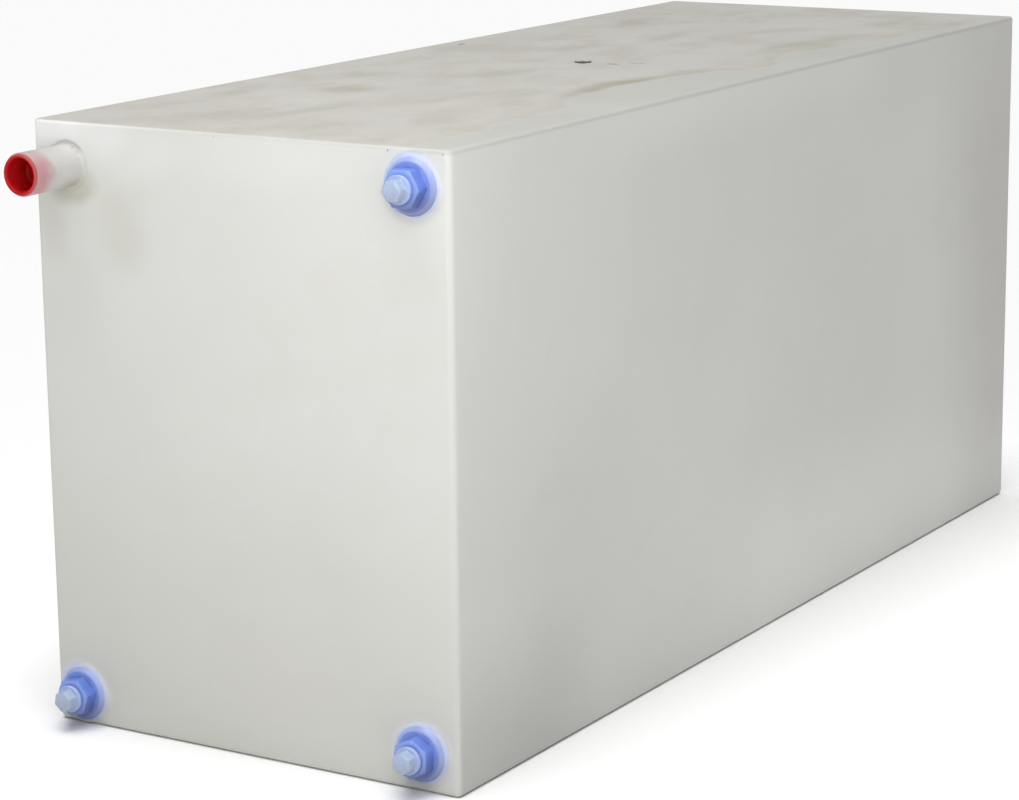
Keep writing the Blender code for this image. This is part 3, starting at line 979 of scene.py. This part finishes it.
def fitting_plastic():
    """Blue polyethylene, with painted light on its face and painted shade low down and where the body
    meets the flange, that pales where its flange melts into the wall.
    """
    s = Surface("blue polyethylene")
    y, z = s.axes()[1:]
    across = s.vector("LENGTH", s.vector("MULTIPLY", s.place, (1, 1, 0)))
    lumps = s.noise(120, 3)["Fac"]
    tone = s.fade(s.noise(180, 3)["Fac"], 0.35, 0.7)
    blue = s.mix(tone, (0.130, 0.220, 0.640, 1), (0.170, 0.265, 0.700, 1))
    # Painted light on the body's face
    lit_face = s.fade(s.math("MULTIPLY_ADD", lumps, 0.0010, z), BODY_TOP - 0.0010, BODY_TOP + 0.0003)
    blue = s.mix(lit_face, blue, (0.245, 0.365, 0.790, 1))
    # Painted shade on the body's lower side
    blue = s.tint(s.fade(y, 0.008, -0.014), blue, (0.55, 0.50, 0.52, 1))
    edge = s.math("MULTIPLY_ADD", s.noise(70, 3)["Fac"], 0.0040, across)
    soft = s.mix(s.fade(edge, 0.0190, 0.0225), (0.270, 0.355, 0.740, 1), (0.380, 0.450, 0.760, 1))
    soft = s.mix(s.fade(edge, 0.0220, 0.0245), soft, (0.470, 0.540, 0.820, 1))
    # Painted shade on the flange's lower side
    soft = s.mix(s.product(s.fade(y, 0.008, -0.016), 0.9), soft, (0.170, 0.200, 0.370, 1))
    flange = s.product(s.fade(z, 0.0056, 0.0046), s.fade(across, 0.0132, 0.0145))
    colour = s.mix(flange, blue, soft)
    # Painted shade in the crease where the body meets the flange
    crease = s.product(s.spot_ring(z, 0.0056, 0.0014), s.fade(lumps, 0.30, 0.70), 0.6)
    colour = s.tint(crease, colour, (0.55, 0.60, 0.80, 1))
    grime = s.noise(300, 4, roughness=0.7)["Fac"]
    colour = s.tint(s.product(s.fade(grime, 0.58, 0.78), 0.35), colour, (0.66, 0.70, 0.80, 1))
    s.set(base_color=colour, ior=1.51, subsurface_weight=0.08, subsurface_scale=0.0015)
    s.set(subsurface_radius=(0.5, 0.7, 1.0))
    scuff = s.noise(90, 4, roughness=0.7)["Fac"]
    s.set(roughness=s.math("MULTIPLY_ADD", s.fade(scuff, 0.4, 0.7), 0.16, 0.30))
    grain = s.noise(1400, 2)["Fac"]
    s.bump((lumps, 0.3, 0.0008), (grain, 0.12, 0.00008))
    return s.material


def plug_plastic():
    """Natural moulded plugs, clear enough to take up the blue of the ports behind them, with painted
    shade low down and where the head meets the flange.
    """
    s = Surface("clear polyethylene")
    y, z = s.axes()[1:]
    haze = s.noise(260, 3)["Fac"]
    colour = s.mix(s.fade(haze, 0.35, 0.7), (0.430, 0.520, 0.710, 1), (0.485, 0.575, 0.755, 1))
    flange_top = BODY_TOP + WASHER_THICKNESS + 2 * GAP + PLUG_FLANGE_THICKNESS
    skirt = s.fade(s.math("MULTIPLY_ADD", haze, 0.0006, z), flange_top + 0.0020, flange_top + 0.0003)
    colour = s.mix(skirt, colour, (0.500, 0.610, 0.900, 1))
    # Painted shade where the head meets the flange
    corner = s.product(s.spot_ring(z, flange_top + 0.0003, 0.0009), s.noise(90, 2)["Fac"])
    colour = s.tint(s.product(corner, 0.7), colour, (0.55, 0.60, 0.75, 1))
    # Painted shade on the plug's lower side
    below = s.fade(y, 0.005, -0.010)
    colour = s.tint(below, colour, (0.78, 0.76, 0.74, 1))
    s.set(base_color=colour, ior=1.51)
    s.set(roughness=s.math("MULTIPLY_ADD", haze, 0.18, 0.26))
    flow = s.noise(700, 2)["Fac"]
    s.bump((haze, 0.15, 0.0003), (flow, 0.1, 0.00006))
    s.glow(colour, 0.12)
    return s.material


def washer_silicone():
    """Translucent sealing rings, blue with what is behind them."""
    s = Surface("clear silicone")
    haze = s.noise(500, 3)["Fac"]
    colour = s.mix(haze, (0.34, 0.43, 0.76, 1), (0.44, 0.52, 0.80, 1))
    s.set(base_color=colour, ior=1.41, subsurface_weight=0.2, subsurface_scale=0.001)
    s.set(roughness=s.math("MULTIPLY_ADD", haze, 0.2, 0.45))
    s.bump((haze, 0.15, 0.0001))
    return s.material


def cap_plastic():
    """Red polyethylene, with a painted highlight on the rim's upper right and painted light in the cup's
    right.
    """
    s = Surface("red polyethylene")
    haze = s.noise(150, 3)["Fac"]
    colour = s.mix(s.fade(haze, 0.35, 0.7), (0.440, 0.004, 0.006, 1), (0.520, 0.007, 0.010, 1))
    x, y = s.axes()[:2]
    across = s.vector("LENGTH", s.vector("MULTIPLY", s.place, (1, 1, 0)))
    # Painted highlight on the rim's upper right
    rim = s.product(s.fade(across, 0.0134, 0.0142), s.fade(s.math("ADD", x, y), -0.016, 0.014))
    colour = s.mix(s.product(rim, 0.55), colour, (0.680, 0.160, 0.170, 1))
    # Painted light in the cup's right
    lit = s.product(s.fade(across, 0.0140, 0.0132), s.fade(x, -0.002, 0.011))
    colour = s.mix(lit, colour, (0.880, 0.030, 0.035, 1))
    s.set(base_color=colour, ior=1.50, specular_ior_level=0.25)
    s.set(roughness=s.math("MULTIPLY_ADD", haze, 0.2, 0.34))
    grain = s.noise(1200, 2)["Fac"]
    s.bump((haze, 0.15, 0.0003), (grain, 0.1, 0.00006))
    s.glow(colour, 0.12)
    return s.material


def floor_paper():
    """The pale paper that the tank stands on."""
    s = Surface("studio floor")
    fibre = s.noise(30, 4)["Fac"]
    s.set(base_color=s.mix(fibre, (0.95, 0.95, 0.95, 1), (0.97, 0.97, 0.97, 1)), roughness=0.9)
    s.set(specular_ior_level=0.0)
    return s.material


# ---------------------------------------------------------------- studio

# The photograph's viewpoint, from the foot of the tank's nearest upright edge
CAMERA_FROM_CORNER = (1.100, -1.705, 0.7505)
CAMERA_TURN, CAMERA_DOWN, CAMERA_ROLL = radians(-31.756), radians(12.887), radians(-0.697)
LENS_MM = 108.42
SENSOR_MM = 36


def make_camera():
    data = bpy.data.cameras.new("camera")
    data.lens, data.sensor_width = LENS_MM, SENSOR_MM
    data.clip_end = 100
    camera = bpy.data.objects.new("camera", data)
    side, back, height = CAMERA_FROM_CORNER
    camera.location = (HALF_WIDTH + side, FRONT + back, height)
    ahead = cos(CAMERA_DOWN)
    view = Vector((sin(CAMERA_TURN) * ahead, cos(CAMERA_TURN) * ahead, -sin(CAMERA_DOWN)))
    turn = view.to_track_quat("-Z", "Y").to_matrix() @ Matrix.Rotation(CAMERA_ROLL, 3, "Z")
    camera.rotation_euler = turn.to_euler()
    bpy.context.scene.collection.objects.link(camera)
    bpy.context.scene.camera = camera


def make_light(name, kind, place, target, power, **settings):
    data = bpy.data.lights.new(name, kind)
    data.energy = power
    for key, value in settings.items():
        setattr(data, key, value)
    light = bpy.data.objects.new(name, data)
    light.location = place
    aim = Vector(target) - Vector(place)
    light.rotation_euler = aim.to_track_quat("-Z", "Y").to_euler()
    light.visible_camera = False
    bpy.context.scene.collection.objects.link(light)


def make_studio():
    """Pale surroundings, a wide soft sun overhead, a large soft lamp by the ports and a floor."""
    world = bpy.data.worlds.new("studio")
    bpy.context.scene.world = world
    world.use_nodes = True
    sky = world.node_tree.nodes["Background"]
    sky.inputs["Color"].default_value = (1.0, 1.0, 1.0, 1)
    sky.inputs["Strength"].default_value = 0.20
    make_light("overhead", "SUN", (0, 0, 5), (0, 0.1, 0), 2.5, angle=radians(45))
    make_light("key", "AREA", (0.38, -1.02, 0.72), (-0.18, -0.49, 0.50), 3.8, size=0.78)
    bm = bmesh.new()
    bmesh.ops.create_grid(bm, x_segments=8, y_segments=8, size=30)
    floor = object_from(bm, "studio_floor")
    floor.data.materials.append(floor_paper())
    bpy.context.scene.view_settings.view_transform = "Standard"


def main():
    tube = spout_plastic()
    blue = fitting_plastic()
    clear = plug_plastic()
    silicone = washer_silicone()
    red = cap_plastic()

    centres = {}
    for name in (*PORTS, "spout"):
        low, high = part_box("fill_spout" if name == "spout" else f"{name}_fitting")
        centres[name] = ((low.x + high.x) / 2, (low.z + high.z) / 2)
    skin = tank_plastic(centres)
    make_tank_shell(skin, centres)
    make_mould_vent_plug(skin)
    for port, facts in PORTS.items():
        centre = centres[port]
        make_fitting(port, facts, centre, blue)
        make_washer(port, centre, silicone)
        make_plug(port, facts, centre, clear)
        make_weld_flash(port, facts, centre, skin)
    make_fill_spout(centres["spout"], tube)
    make_fill_cap(centres["spout"], red)
    make_spout_weld(centres["spout"], skin)
    make_camera()
    make_studio()


main()
